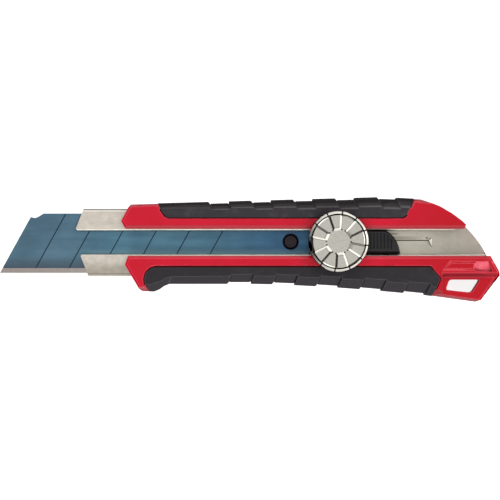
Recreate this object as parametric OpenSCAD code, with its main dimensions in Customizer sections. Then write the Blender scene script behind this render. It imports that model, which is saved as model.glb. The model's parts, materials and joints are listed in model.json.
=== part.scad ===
// Wheel-lock snap-off utility knife, lying on its back.
// X runs along the knife with the blade's tip at -X, Y runs across it, and +Z points up,
// towards the side with the lock wheel. The origin lies on the back face, under the
// middle line of the steel channel.

/* [Blade] */
// Width of the blade, back to cutting edge
blade_w = 25; // [20:0.5:25.4]
// Thickness of the blade
blade_t = 0.7; // [0.5:0.05:0.9]
// Length of the blade along its cutting edge
blade_l = 125.6; // [110:0.2:130]
// Distance from one snap line to the next
snap_pitch = 14; // [12:0.5:16]
// Number of snap lines
snap_lines = 6; // [3:1:7]
// Angle of the snap lines to the cutting edge
snap_angle = 61; // [55:1:68]
// Width of the ground cutting bevel
bevel_w = 2.5; // [1.5:0.1:3.5]
// Radius of the blade's mounting hole
blade_hole_r = 3.3; // [2.5:0.1:3.8]
// Distance from the stud in the carrier to the back end of the blade
tang_l = 10.4; // [8:0.2:12]

/* [Channel] */
// Thickness of the channel's steel sheet
sheet_t = 1; // [0.8:0.05:1.2]
// Side play of the blade in the channel
blade_play = 0.5; // [0.3:0.05:0.8]
// Width of the long window between the two lips
window_w = 10.2; // [9:0.2:12]
// Reach of the channel in front of the handle's nose
channel_reach = 19.6; // [12:0.2:26]
// Set-back of the lip's outer corner at the nose
lip_rake = 3.5; // [1:0.1:5]
// Height of the pressed stop teeth in the floor
tooth_h = 1.2; // [0.8:0.1:1.3]

/* [Handle] */
// Distance from the handle's nose to the axis of the lock wheel at rest
nose_to_wheel = 90.2; // [84:0.2:96]
// Distance from the axis of the lock wheel to the far end of the tail
wheel_to_tail = 67.8; // [66:0.1:72]
// Thickness of the back wall under the channel
back_t = 7; // [5:0.25:9]
// Height of the rails over the lips of the channel
rail_h = 5.1; // [4:0.1:7]
// Height of the back shell's parting face over its back
parting_z = 9; // [8.5:0.1:10]
// Width outside the channel at the nose, on the side of the blade's back
upper_nose_wall = 1.7; // [1.65:0.05:3]
// Width outside the channel where the handle is widest, on the same side
upper_top_wall = 4.75; // [4:0.05:6]
// Width outside the channel behind the finger guard, on the edge side
lower_waist_wall = 3.25; // [2.7:0.05:4.5]
// Drop of the finger guard below that straight part
guard_drop = 3.1; // [1.5:0.1:4]
// Width outside the channel at the tail's lowest corner
tail_wall = 10.8; // [9.5:0.1:12]
// Step from the edge of a lip back to the red rail
rail_step = 0.8; // [0.4:0.1:1.5]
// Thickness of the rubber on the sides
grip_t = 1.6; // [1.3:0.1:1.65]
// Depth of the steps between the rubber blocks
block_step = 0.75; // [0.3:0.05:0.9]
// Width of the lanyard hole across the tail
lanyard_w = 5.4; // [5:0.1:5.8]
// Length of the lanyard hole along the tail
lanyard_l = 13; // [11:0.2:14]

/* [Lock] */
// Radius of the lock wheel
wheel_r = 12.5; // [11:0.1:13.5]
// Height of the lock wheel
wheel_h = 7.4; // [6.6:0.1:10]
// Nominal radius of the lock screw
screw_r = 2.5; // [2:0.1:3]
// Height that the loosened wheel and its saddle rise
lock_lift = 0.8; // [0.5:0.1:1]
// Number of raised blocks on the wheel's face
wheel_blocks = 6; // [4:1:8]
// Slide of the carriage from rest to its rear stop
travel_back = 33.6; // [30:0.2:36]
// Slide of the carriage from rest to its front stop
travel_out = 75; // [60:1:76]

/* [Hidden] */

$fn = 48;
eps = 0.01;          // overlap of a cutting solid with the face it cuts
big = 60;            // reach of cutting solids that leave the part
fit = 0.05;          // clearance of pieces that are joined
run = 0.1;           // clearance of pieces that slide on each other

// Heights
floor_z = back_t;                       // underside of the channel
inside_z = floor_z + sheet_t;           // top of the channel's floor
carrier_z = inside_z + 0.2;             // underside of the carrier
plate_t = 1.4;                          // thickness of the carrier under the blade
blade_z = carrier_z + plate_t + run;    // underside of the blade
lip_z = blade_z + blade_t + 0.5;        // underside of the lips
lip_top = lip_z + sheet_t;
front_z = lip_top + rail_h;             // front face of the rails
side_z = front_z - 5;                   // edge between the side wall and its slope
wheel_z = front_z + 0.4;                // underside of the wheel
washer_t = 0.45;
saddle_top = wheel_z - washer_t - fit;

// Widths
channel_half = blade_w / 2 + blade_play + sheet_t + run;
upper_nose_half = channel_half + upper_nose_wall;
upper_top_half = channel_half + upper_top_wall;
lower_waist_half = channel_half + lower_waist_wall;
tail_half = channel_half + tail_wall;
nose_tip_y = channel_half - 5.2;        // where the rails' noses reach furthest forward
tail_tip_y = channel_half - 1.2;        // where the tail reaches furthest back
window_half = window_w / 2;
rail_edge = window_half + rail_step;
blade_y = -0.35;                        // the blade lies towards its cutting edge
lock_y = 0.3;                           // the stud and the screw lie the other way

// Places along the knife
wheel_x = 36.5;
nose_x = wheel_x - nose_to_wheel;
tail_x = wheel_x + wheel_to_tail;
stud_x = wheel_x - 19.4;
lean = 1 / tan(snap_angle);             // run of the snap lines for each mm across
blade_back_x = stud_x + tang_l;         // back end of the blade on the middle line
blade_tip_x = blade_back_x - (blade_w / 2 - blade_y) * lean - blade_l;
carrier_front_x = stud_x - 8;
slider_front_x = blade_back_x + (window_half - 0.35) * lean + 1;
slider_w = window_w - 0.5;
slider_z = carrier_z + plate_t + run + blade_t + 0.4;   // top of the carrier's thick part
head_r = screw_r + 1.3;
slot_end_x = wheel_x + head_r + 1.4;
rear_tooth_x = slot_end_x + travel_back + run;
front_tooth_x = carrier_front_x - travel_out - run;
carrier_shift = travel_back + 3;        // the carrier ends under the slider
channel_nose_x = nose_x - channel_reach;
channel_rear_x = tail_x - 5.6;          // hidden end, inside the tail

// The rear end of rails, channel, carrier and slider is one and the same arc
rear_r = 48.1;
rear_top = [tail_x - 32.7, upper_top_half - 0.8];
rear_low = [tail_x - 4.1, -rail_edge];
rear_chord = rear_low - rear_top;
rear_reach = sqrt(pow(rear_r / norm(rear_chord), 2) - 1 / 4);
rear_x = (rear_top[0] + rear_low[0]) / 2 + rear_reach * rear_chord[1];
rear_y = (rear_top[1] + rear_low[1]) / 2 - rear_reach * rear_chord[0];
function arc_x(y, shift = 0, r = rear_r) = rear_x - shift + sqrt(r * r - pow(y - rear_y, 2));
function rear_arc(y0, y1, shift = 0, n = 8) =
    [for (i = [0:n]) let (y = y0 + (y1 - y0) * i / n) [arc_x(y, shift), y]];

// Half widths of the handle along its length: side walls and front folds
function upper_side(x) = lookup(x, [[nose_x, upper_nose_half],
    [wheel_x, upper_top_half - 0.55], [wheel_x + 19, upper_top_half],
    [wheel_x + 36, upper_top_half - 0.85], [tail_x, upper_top_half - 3]]);
function upper_fold(x) = upper_side(x) - lookup(x, [[nose_x, 1.1], [nose_x + 13.6, 1.1],
    [nose_x + 17.2, 2], [wheel_x + 19, 4.3], [wheel_x + 31, 4.1], [wheel_x + 32.4, 1.6], [tail_x, 1.6]]);
function lower_side(x) = lookup(x, [[nose_x, lower_waist_half + guard_drop],
    [nose_x + 13.6, lower_waist_half + guard_drop + 0.1],
    [nose_x + 15.4, lower_waist_half + guard_drop * 0.8],
    [nose_x + 17.2, lower_waist_half + guard_drop * 0.36],
    [nose_x + 20, lower_waist_half],
    [wheel_x - 31, lower_waist_half], [wheel_x - 13, lower_waist_half + 0.75],
    [wheel_x + 5, lower_waist_half + 1.85], [wheel_x + 23, lower_waist_half + 3.35],
    [wheel_x + 39, tail_half - 2.6], [tail_x - 10, tail_half]]);
function lower_fold(x) = lower_side(x) - lookup(x, [[nose_x, 1.6], [nose_x + 10, 1.8],
    [nose_x + 13.6, 4], [nose_x + 17, 3.6], [nose_x + 20, 3.1], [wheel_x - 13, 3.5],
    [wheel_x + 5, 3.8], [wheel_x + 39, 4.2], [wheel_x + 44, 1.8], [tail_x, 1.5]]);

// Plan outlines
nose_upper = [[nose_x + 3.6, upper_nose_half - 0.2], [nose_x, nose_tip_y],
              [nose_x + 1.8, rail_edge]];
nose_lower = [[nose_x + 2.9, -rail_edge], [nose_x + 1.6, -nose_tip_y - 0.4],
              [nose_x + 7.6, 0.85 - lower_waist_half - guard_drop],
              [nose_x + 8.6, -lower_waist_half - guard_drop]];
module nose_plan() {
    polygon(concat([[tail_x + 1, big], [nose_x + 4.8, big]], nose_upper, nose_lower,
                   [[nose_x + 8.6, -big], [tail_x + 1, -big]]));
}
module tail_plan() {
    polygon(concat([[nose_x - 1, -big], [tail_x - 10, -big], [tail_x - 10, -tail_half],
                    [tail_x - 7.9, 0.8 - tail_half], [tail_x - 0.2, -tail_tip_y - 1],
                    [tail_x, -tail_tip_y]],
                   rear_arc(rear_low[1], rear_top[1]),
                   [[rear_top[0] - 3, big], [nose_x - 1, big]]));
}
grip_edge_y = rail_edge + 4.4;          // inner edge of the rubber on the front
upper_grip_line = [[nose_x + 15.2, upper_nose_half + 0.4], [nose_x + 16.5, channel_half - 0.4],
                   [nose_x + 18.4, grip_edge_y + 0.6], [nose_x + 19.7, grip_edge_y],
                   [wheel_x + 27, grip_edge_y], [wheel_x + 28.6, grip_edge_y + 1],
                   [wheel_x + 32.4, upper_top_half]];
lower_grip_line = [[nose_x + 11.5, -lower_waist_half - guard_drop],
                   [nose_x + 10, -channel_half - 3.4], [nose_x + 9.8, -channel_half - 0.8],
                   [nose_x + 10.5, -channel_half + 1.5], [nose_x + 12.1, -grip_edge_y - 0.7],
                   [nose_x + 14.2, -grip_edge_y], [wheel_x + 38.6, -grip_edge_y],
                   [wheel_x + 42.6, -channel_half - 1.1], [wheel_x + 39.6, 2.4 - tail_half]];
module upper_grip_plan() {
    polygon(concat([[nose_x + 15.2, big]], upper_grip_line, [[wheel_x + 32.4, big]]));
}
module lower_grip_plan() {
    polygon(concat([[nose_x + 11.6, -big]], lower_grip_line, [[wheel_x + 39.6, -big]]));
}

// A closed skin through rings that all have the same number of points
module loft(rings) {
    n = len(rings[0]);
    last = len(rings) - 1;
    polyhedron(
        points = [for (ring = rings) each ring],
        faces = concat(
            [[for (i = [n - 1:-1:0]) i]],
            [for (k = [0:last - 1], i = [0:n - 1]) let (j = (i + 1) % n)
                each [[k * n + i, k * n + j, (k + 1) * n + j],
                      [k * n + i, (k + 1) * n + j, (k + 1) * n + i]]],
            [[for (i = [0:n - 1]) last * n + i]]));
}

grip_bottom_z = 2.6;                    // lower edge of the rubber
// Cross-section of the red handle; the core under the rubber is inset and lower
function handle_ring(x, inset, drop) =
    let (u = upper_side(x) - inset, l = lower_side(x) - inset,
         uf = upper_fold(x) - inset, lf = lower_fold(x) - inset, z = front_z - drop)
    [[x, 3.4 - l, 0], [x, 1.9 - l, 0.9], [x, 1.3 - l, grip_bottom_z], [x, -l, 5],
     [x, -l, side_z - drop / 2], [x, -lf, z], [x, uf, z], [x, u, side_z - drop / 2],
     [x, u, 5], [x, u - 1.3, grip_bottom_z], [x, u - 1.9, 0.9], [x, u - 3.4, 0]];
handle_stations = concat([for (d = [0, 6, 10, 12, 13.6, 15.4, 17.2, 20, 33, 46, 58.7]) nose_x + d],
    [wheel_x - 13, wheel_x + 5, wheel_x + 19, wheel_x + 23, wheel_x + 31, wheel_x + 32.4,
     wheel_x + 36, wheel_x + 39, wheel_x + 44, tail_x - 10, tail_x]);
module handle_form(inset = 0, drop = 0) {
    loft([for (x = handle_stations) handle_ring(x, inset, drop)]);
}
grip_floor_drop = 1.5;                  // depth of the rubber's seat in the front face
module core() handle_form(grip_t, grip_floor_drop);

// Everything red, before it is parted into back shell and rails
module red_solid() {
    difference() {
        intersection() {
            handle_form();
            linear_extrude(front_z + 1) tail_plan();
            linear_extrude(front_z + 1) nose_plan();
        }
        window_chamfers();
        grip_seats();
        channel_seat();
        lanyard_hole();
        tail_step();
        tail_panel();
        for (line = [nose_upper, nose_lower]) edge_slopes(line, front_z, edge_w, edge_d);
        edge_slopes([[tail_x - 7.9, 0.8 - tail_half], [tail_x, -tail_tip_y]], front_z - tail_step_d,
                    edge_w, edge_d);
        edge_slopes([[tail_x, -tail_tip_y], rear_low], front_z, edge_w, edge_d);
        // the red falls away towards the rubber
        edge_slopes([for (i = [5:-1:1]) upper_grip_line[i]], front_z, moat_w, moat_d);
        edge_slopes([for (i = [1:8]) lower_grip_line[i]], front_z, moat_w, moat_d);
    }
}
// Slopes w wide and d deep along the edges of a face at height z, with the solid on the
// left of the line of points
edge_w = 0.9;
edge_d = 0.45;
moat_w = 0.6;
moat_d = 0.9;
module edge_slopes(line, z, w, d) {
    for (i = [1:len(line) - 1]) let (step = line[i] - line[i - 1])
        translate([line[i - 1][0], line[i - 1][1], z])
            rotate([90, 0, atan2(step[1], step[0]) + 90])
                translate([0, 0, -w / 2]) linear_extrude(norm(step) + w)
                    polygon([[w, 3], [w, 0], [-w / 3, -d * 4 / 3], [-w / 3, 3]]);
}
module grip_seats() {
    difference() {
        translate([0, 0, grip_bottom_z]) linear_extrude(front_z) {
            upper_grip_plan();
            lower_grip_plan();
        }
        core();
    }
}
module channel_seat() {
    translate([nose_x - 5, -channel_half, floor_z])
        cube([channel_rear_x - nose_x + 5, channel_half * 2, lip_top - floor_z]);
    translate([nose_x - 5, -rail_edge, floor_z]) cube([big * 3, rail_edge * 2, big]);
}
// Small slopes along the inner edges of the rails
module window_chamfers() {
    for (s = [-1, 1]) rotate([90, 0, 90]) translate([0, 0, nose_x - 5]) linear_extrude(big * 3)
        polygon([[s * (rail_edge - eps), front_z - edge_d], [s * (rail_edge + edge_w), front_z + eps],
                 [s * (rail_edge - eps), front_z + eps]]);
}
// Corners of a plan, each cut back by c on both sides
function rounded(ring, c) = [for (i = [0:len(ring) - 1])
    let (p = ring[i], a = ring[(i + len(ring) - 1) % len(ring)] - p, b = ring[(i + 1) % len(ring)] - p,
         u = a / norm(a) * c, v = b / norm(b) * c) each [p + u, p + (u + v) * 0.3, p + v]];
function lanyard_corners(wider) = let (x = tail_x - 22.2, y = -channel_half - 1.5)
    [[x + 1, y], [x + lanyard_l + 0.9 + wider, y],
     [x + lanyard_l - 2.6 + wider, y - lanyard_w - wider / 4], [x - 0.4, y - lanyard_w + 1.1]];
// The hole widens towards the back
module lanyard_hole() {
    throat_z = front_z - tail_step_d - 4.6;
    loft([for (ring = [[-1, 1.9], [throat_z, 0], [front_z + 1, 0]])
        [for (p = rounded(lanyard_corners(ring[1]), 0.9)) [p[0], p[1], ring[0]]]]);
}
// The tail is lower round the lanyard hole, behind a sloped step
tail_step_d = 1.7;
module tail_step() {
    x0 = wheel_x + 43.6;
    rotate([90, 0, 90]) translate([0, 0, x0]) linear_extrude(big)
        polygon([[1.6 - channel_half, front_z + eps], [0.9 - channel_half, front_z - edge_d],
                 [-0.3 - channel_half, front_z - tail_step_d],
                 [-big, front_z - tail_step_d], [-big, front_z + eps]]);
}
// Shallow panel over the step, with a scoop at its rear end that falls towards the step
panel_d = 0.5;
panel_edge = 0.9;                       // width of the slopes round the panel
scoop_tilt = 24;
module tail_panel() {
    y0 = -channel_half + 2.3;
    y1 = -rail_edge - 1.9;
    function floor_ring(inset, z) = [[tail_x - 21.2 + inset, y1 - inset, z],
        [tail_x - 9.9, y1 - inset, z], [tail_x - 9.9, y0 + inset, z],
        [tail_x - 24.2 + inset, y0 + inset, z]];
    loft([floor_ring(panel_edge, front_z - panel_d), floor_ring(0, front_z),
          floor_ring(0, front_z + 1)]);
    intersection() {
        translate([0, 0, front_z - 3]) linear_extrude(big)
            polygon([[tail_x - 11.1, y1 - 1.7], [tail_x - 10.7, y1 - 0.8], [tail_x - 9.9, y1 - 0.2],
                     [tail_x - 5.2, y1], [tail_x - 3.5, y0 - 0.4], [tail_x - 9.9, y0 - 0.2],
                     [tail_x - 10.7, y0 + 0.5]]);
        translate([0, y1, front_z]) rotate([scoop_tilt, 0, 0])
            translate([0, -big, 0]) cube([big * 2, big * 2, big]);
    }
}
peg_r = 0.9;
upper_pegs = [for (x = [34.5, 38]) [wheel_x + x, channel_half + 1.5]];
lower_pegs = [[nose_x + 10.8, -channel_half - 2.5], [wheel_x + 46, 2.1 - tail_half + 0.7],
              [tail_x - 12, 2.8 - tail_half]];
module pegs(places, r, h) {
    for (p = places) translate([p[0], p[1], parting_z - h]) cylinder(r = r, h = h + eps);
}

module back_shell() {
    color([0.78, 0.07, 0.16]) difference() {
        intersection() {
            red_solid();
            translate([-big * 3, -big, -1]) cube([big * 6, big * 2, parting_z + 1]);
        }
        pegs(concat(upper_pegs, lower_pegs), peg_r + fit, 4.2);
        rivets(rivet_r);
    }
}
module upper_rail() {
    end_x = arc_x(rail_edge + 1.6);
    color([0.82, 0.1, 0.2]) {
        difference() {
            intersection() {
                red_solid();
                translate([-big * 3, 0, parting_z]) cube([big * 6, big, big]);
            }
            // the sharp corner at the rear is cut back
            translate([0, 0, parting_z - 1]) linear_extrude(big)
                polygon([[end_x - 1.5, rail_edge - 1], [end_x - 0.9, rail_edge + eps],
                         [end_x - 0.4, rail_edge + 0.4], [end_x, rail_edge + 1.6],
                         [end_x + 9, rail_edge + 1.6], [end_x + 9, rail_edge - 1]]);
        }
        pegs(upper_pegs, peg_r, 4);
    }
}
module lower_rail() {
    color([0.82, 0.1, 0.2]) {
        intersection() {
            red_solid();
            translate([-big * 3, -big, parting_z]) cube([big * 6, big, big]);
        }
        pegs(lower_pegs, peg_r, 4);
    }
}

// Rubber grips: blocks with slanted ends, one step proud of the lands between them.
// Each ring leans in plan, so that the ends of the blocks lean too.
skew = 0.38;
ramp = 0.5;
groove = -0.4;
grip_front_z = front_z + 0.3;
function block_ends(first_end, start, pitch, len, n, x0, x1) = concat(
    [[x0, 1], [first_end, 1], [first_end + ramp, groove], [first_end + 2 * ramp, 0]],
    [for (i = [0:n - 1]) let (a = start + i * pitch, b = min(a + len, x1 - 3)) each
        [[a - ramp, 0], [a, groove], [a + ramp, 1], [b, 1],
         [b + ramp, i == n - 1 ? 1 : groove], [b + 2 * ramp, i == n - 1 ? 1 : 0]]],
    [[x1, 1]]);
function grip_ring(s, x, side, fold, level, proud) =
    let (d = (1 - level) * block_step, w = side + proud - d, f = fold - d,
         g = w - 0.5, inner = grip_edge_y - 2, at = function (y) x + skew * (side - y))
    s > 0 ? [[at(inner), inner, grip_bottom_z], [at(inner), inner, grip_front_z],
             [at(f), f, grip_front_z], [at(w), w, side_z], [at(w), w, 4.2], [at(g), g, grip_bottom_z]]
          : [[at(inner), -inner, grip_bottom_z], [at(g), -g, grip_bottom_z], [at(w), -w, 4.2],
             [at(w), -w, side_z], [at(f), -f, grip_front_z], [at(inner), -inner, grip_front_z]];
module upper_grip() {
    ends = block_ends(wheel_x - 53.9, wheel_x - 45.8, 17.6, 9.7, 5, nose_x + 8, wheel_x + 34);
    color([0.2, 0.19, 0.2]) difference() {
        intersection() {
            loft([for (e = ends) grip_ring(1, e[0], upper_side(e[0]),
                upper_side(e[0]) - lookup(e[0], [[nose_x, 1.8], [wheel_x + 19, 4.2]]), e[1], 0.2)]);
            linear_extrude(big) upper_grip_plan();
        }
        core();
    }
}
module lower_grip() {
    ends = concat([for (x = [4, 11, 13.6, 15.4, 17.2]) [nose_x + x, 1]],
        block_ends(wheel_x - 46, wheel_x - 36.6, 18.3, 9.3, 5, nose_x + 20, wheel_x + 46));
    color([0.2, 0.19, 0.2]) difference() {
        intersection() {
            loft([for (e = ends) grip_ring(-1, e[0], lower_side(e[0]),
                min(lower_fold(e[0]), lower_side(e[0]) - 3), e[1], 0.1)]);
            linear_extrude(big) lower_grip_plan();
        }
        core();
    }
}

// Steel channel: floor, two walls and two lips, cut to shape in plan
module channel_plan() {
    polygon(concat([[channel_nose_x + lip_rake, channel_half], [channel_nose_x + 0.2, window_half + 0.7],
                    [channel_nose_x + 0.9, window_half], [channel_nose_x + 2.8, -window_half],
                    [channel_nose_x + 2.2, -window_half - 0.6],
                    [channel_nose_x + 2 + lip_rake, -channel_half],
                    [channel_rear_x, -channel_half]],
                   rear_arc(-3.2, channel_half)));
}
// A corner of the floor, bent up along its far side: it stops what comes from its sharp end
module stop_tooth(x, dir) {
    translate([x, 0, inside_z - eps]) intersection() {
        linear_extrude(tooth_h) polygon([[0, 0.9], [dir * 1.4, 2], [dir * 1.4, -2.1]]);
        rotate([90, 0, 0]) translate([0, 0, -3]) linear_extrude(6)
            polygon([[0, -1], [0, tooth_h], [dir * 1.4, tooth_h * 0.3], [dir * 1.4, -1]]);
    }
}
module blade_channel() {
    color([0.8, 0.79, 0.76]) difference() {
        union() {
            difference() {
                translate([0, 0, floor_z]) linear_extrude(lip_top - floor_z) channel_plan();
                translate([-big * 3, sheet_t - channel_half, inside_z])
                    cube([big * 6, (channel_half - sheet_t) * 2, lip_z - inside_z]);
                translate([-big * 3, -window_half, inside_z]) cube([big * 6, window_w, big]);
                window_flare();
            }
            stop_tooth(rear_tooth_x, 1);
            stop_tooth(front_tooth_x, -1);
        }
        rivets(rivet_r);
        // narrow pressed line in front of the rear stop tooth
        translate([rear_tooth_x - 14.2, 0.65, inside_z - 0.3]) cube([14.1, 0.4, 1]);
    }
}
// The upper lip is cut back at the rear, so that the carrier goes in there
module window_flare() {
    translate([0, 0, lip_z - eps]) linear_extrude(sheet_t + 1)
        polygon([[tail_x - 20, window_half], [tail_x - 16.5, window_half + 0.6],
                 [tail_x - 13.5, window_half + 2.2], [tail_x, window_half + 2.2],
                 [tail_x, 0], [tail_x - 20, 0]]);
}
rivet_r = 1.6;
rivet_places = [for (x = [nose_x + 14, wheel_x - 30, wheel_x + 8, wheel_x + 38],
                     y = [-1, 1] * (channel_half - 4.6)) [x, y]];
module rivets(r) {
    for (p = rivet_places) translate([p[0], p[1], floor_z - 4]) {
        cylinder(r = r, h = 4 + sheet_t + eps);
        translate([0, 0, 4 + sheet_t - 0.6]) cylinder(r1 = r, r2 = r + 0.7, h = 0.6 + eps);
    }
}
module channel_rivets() {
    color([0.6, 0.6, 0.6]) intersection() {
        rivets(rivet_r);
        translate([-big * 3, -big, 0]) cube([big * 6, big * 2, inside_z]);
    }
}

// Snap-off blade with a ground edge, snap lines and a mounting hole
module leaning(x, w0, w1) {
    polygon([[x + w0 * lean, w0], [x + big * 6, w0], [x + big * 6, w1], [x + w1 * lean, w1]]);
}
module blade() {
    y0 = blade_y - blade_w / 2;
    y1 = blade_y + blade_w / 2;
    tip = blade_tip_x - y0 * lean;      // where the front end crosses the middle line
    color([0.33, 0.45, 0.53]) difference() {
        intersection() {
            translate([blade_tip_x, 0, blade_z]) rotate([90, 0, 90]) linear_extrude(blade_l + big)
                polygon([[y0, blade_t * 0.44], [y0, blade_t * 0.56], [y0 + bevel_w, blade_t],
                         [y1, blade_t], [y1, 0], [y0 + bevel_w, 0]]);
            linear_extrude(big) difference() {
                leaning(tip, y0 - eps, y1 + eps);
                leaning(blade_back_x, y0 - 1, y1 + 1);
                snap_notch(tip, y1);
            }
        }
        for (i = [1:snap_lines]) snap_line(tip + i * snap_pitch, y0);
        translate([stud_x, lock_y, 0]) cylinder(r = blade_hole_r, h = big);
    }
}
module snap_notch(tip, y1) {
    x = tip + (y1 - 1.7) * lean;
    polygon([[x - 3, y1 - 1.5], [x, y1 - 1.5], [x + 2.1, y1 - 1.9], [x + 3.8, y1 - 1.1],
             [x + 5.2, y1 - 0.2], [x + 6, y1 + 1], [x - 3, y1 + 1]]);
}
module snap_line(x, y0) {
    depth = blade_t * 0.2;
    translate([x, 0, blade_z + blade_t - depth]) rotate([0, 0, snap_angle])
        translate([(y0 + bevel_w * 0.4) / sin(snap_angle), -0.15, 0]) cube([big, 0.3, 1]);
}

// Carriage: carrier plate, stud, slider, screw and what holds them
module carrier_plan() {
    half = channel_half - sheet_t - 0.4;
    polygon(concat([[carrier_front_x, half - 3], [carrier_front_x, 3 - half],
                    [carrier_front_x + 3, -half]],
                   [[channel_rear_x - carrier_shift, -half]], rear_arc(-3.2, half, carrier_shift),
                   [[carrier_front_x + 3, half]]));
}
module blade_carrier() {
    color([0.45, 0.45, 0.46]) difference() {
        union() {
            translate([0, 0, carrier_z]) linear_extrude(plate_t) carrier_plan();
            translate([0, 0, carrier_z]) linear_extrude(slider_z - carrier_z) intersection() {
                carrier_plan();
                leaning(blade_back_x + 0.4, -big / 2, big / 2);
            }
        }
        // slot that runs over the rear stop tooth
        translate([slot_end_x, -2.4, carrier_z - 1]) cube([big * 2, 4.8, 1 + tooth_h + 0.1]);
        translate([stud_x, lock_y, carrier_z - 1]) cylinder(r = stud_r, h = big);
        translate([stud_x, lock_y, carrier_z - eps]) cylinder(r = stud_r + 1.2, h = 0.6);
        translate([wheel_x, lock_y, carrier_z - 1]) cylinder(r = screw_r, h = big);
        translate([wheel_x, lock_y, carrier_z - 1]) cylinder(r = head_r, h = 1 + head_h);
        slider_rivet_shanks(slider_rivet_r);
        spring_seat();
    }
}
stud_r = 2.2;
module blade_stud() {
    color([0.13, 0.12, 0.13]) translate([stud_x, lock_y, 0]) {
        translate([0, 0, carrier_z]) cylinder(r = stud_r + 1.2, h = 0.6 - eps);
        translate([0, 0, carrier_z]) cylinder(r = stud_r, h = plate_t);
        translate([0, 0, carrier_z + plate_t]) cylinder(r = blade_hole_r - 0.3, h = run + blade_t);
        translate([0, 0, blade_z + blade_t]) cylinder(r1 = blade_hole_r - 0.3,
            r2 = blade_hole_r - 0.6, h = 0.2);
    }
}
// Bowed leaf in a seat under the carrier, which presses the carriage against the lips
spring_l = 14;
spring_w = 4;
spring_t = 0.25;
spring_x = wheel_x - 1;
spring_y = 7.5;
module spring_seat() {
    for (s = [-1, 1]) translate([spring_x - 0.3, s * spring_y - spring_w / 2 - 0.2, carrier_z - eps])
        cube([spring_l + 0.6, spring_w + 0.4, 0.9]);
}
module rattle_spring() {
    bow = carrier_z + 0.9 - spring_t - inside_z - fit;
    r = (spring_l * spring_l / 4 + bow * bow) / (2 * bow);
    color([0.7, 0.7, 0.72]) for (s = [-1, 1])
        translate([spring_x, s * spring_y + spring_w / 2, carrier_z + 0.9 - eps - spring_t])
            rotate([90, 0, 0]) linear_extrude(spring_w) intersection() {
                translate([spring_l / 2, r - bow]) difference() {
                    circle(r = r, $fn = 180);
                    circle(r = r - spring_t, $fn = 180);
                }
                translate([0, -2]) square([spring_l, 2 + spring_t]);
            }
}
head_h = 1.5;
module lock_screw() {
    color([0.62, 0.62, 0.63]) translate([wheel_x, lock_y, 0]) {
        translate([0, 0, carrier_z + 0.1]) cylinder(r = head_r, h = head_h - 0.1);
        translate([0, 0, carrier_z + head_h])
            cylinder(r = screw_r - fit, h = screw_top - carrier_z - head_h);
    }
}
screw_top = wheel_z + wheel_h - 1.8 - lock_lift;    // stays in the bush when the wheel rises
slider_rivet_r = 0.8;
slider_rivet_x = [wheel_x + 12.5, wheel_x + 19];
module slider_rivet_shanks(r) {
    for (x = slider_rivet_x) translate([x, x == slider_rivet_x[0] ? 3.6 : -3.6, carrier_z - eps]) {
        cylinder(r = r, h = 6);
        cylinder(r = r + 0.4, h = 0.6);
    }
}
module slider_rivets() {
    color([0.66, 0.66, 0.66]) intersection() {
        slider_rivet_shanks(slider_rivet_r);
        translate([0, -big, carrier_z]) cube([big * 3, big * 2, slider_z + 2.4 - carrier_z]);
    }
}
// Thumb slider: a low tongue under the clamp saddle, then a ribbed thumb pad
saddle_front_x = wheel_x - 6.5;
saddle_rear_x = wheel_x + 6.5;
slider_top = front_z - 0.5;
rib_n = 7;
rib_pitch = 1.45;
slider_end_r = 12.55;                   // the slider's rear end is an arc round this point
slider_end = [wheel_x + 13.6, -5.65];
module slider_side() {
    rear = slider_end[0] + slider_end_r;
    polygon([[slider_front_x, slider_z], [rear, slider_z], [rear, slider_top],
             [saddle_rear_x + 0.15, slider_top],
             [saddle_rear_x + 0.15, lip_top - 0.1], [slider_front_x, lip_top - 0.1]]);
}
// Everything within the end arc less inset, and everything in front of it
module slider_reach(inset, edge) {
    translate([0, -big, 0]) cube([slider_end[0], big * 2, big]);
    translate([slider_end[0], slider_end[1], 0])
        rotate_extrude($fn = 96) polygon([[0, 0], [slider_end_r - inset, 0],
            [slider_end_r - inset, slider_top - edge * 1.5],
            [slider_end_r - inset - edge, slider_top + eps], [0, slider_top + eps]]);
}
module thumb_slider() {
    color([0.1, 0.1, 0.11]) difference() {
        intersection() {
            translate([0, slider_w / 2, 0]) rotate([90, 0, 0]) linear_extrude(slider_w) slider_side();
            slider_reach(0, 0.7);
            // sloped long edges
            rotate([90, 0, 90]) linear_extrude(big * 2) polygon([[-slider_w / 2, 0],
                [slider_w / 2, 0], [slider_w / 2, slider_top - 0.8], [slider_w / 2 - 0.5, slider_top],
                [1.1 - slider_w / 2, slider_top], [-slider_w / 2, slider_top - 1.8]]);
        }
        // valleys between the ribs
        intersection() {
            for (i = [0:rib_n - 1]) translate([wheel_x + 13.2 + i * rib_pitch, -2.6, slider_top - 0.6])
                cube([rib_pitch * 0.5, 6.4, 2]);
            slider_reach(1.4, 0);
        }
        translate([wheel_x, lock_y, 0]) cylinder(r = screw_r, h = big);
        intersection() {
            slider_rivet_shanks(slider_rivet_r);
            translate([0, -big, carrier_z]) cube([big * 3, big * 2, slider_z + 2.4 - carrier_z]);
        }
    }
}

// Clamp saddle: a keyed block that the wheel presses on the lips
module clamp_saddle() {
    half = window_half + rail_step - 0.35;
    color([0.7, 0.69, 0.68]) difference() {
        translate([saddle_front_x, -half, lip_top + fit])
            cube([saddle_rear_x - saddle_front_x, half * 2, saddle_top - lip_top - fit]);
        translate([wheel_x, lock_y, 0]) cylinder(r = screw_r + fit, h = big);
    }
}
module wave_washer() {
    color([0.75, 0.75, 0.75]) translate([wheel_x, lock_y, saddle_top]) difference() {
        cylinder(r = screw_r + 2.9, h = washer_t);
        translate([0, 0, -1]) cylinder(r = screw_r + 0.2, h = washer_t + 2);
    }
}

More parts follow.
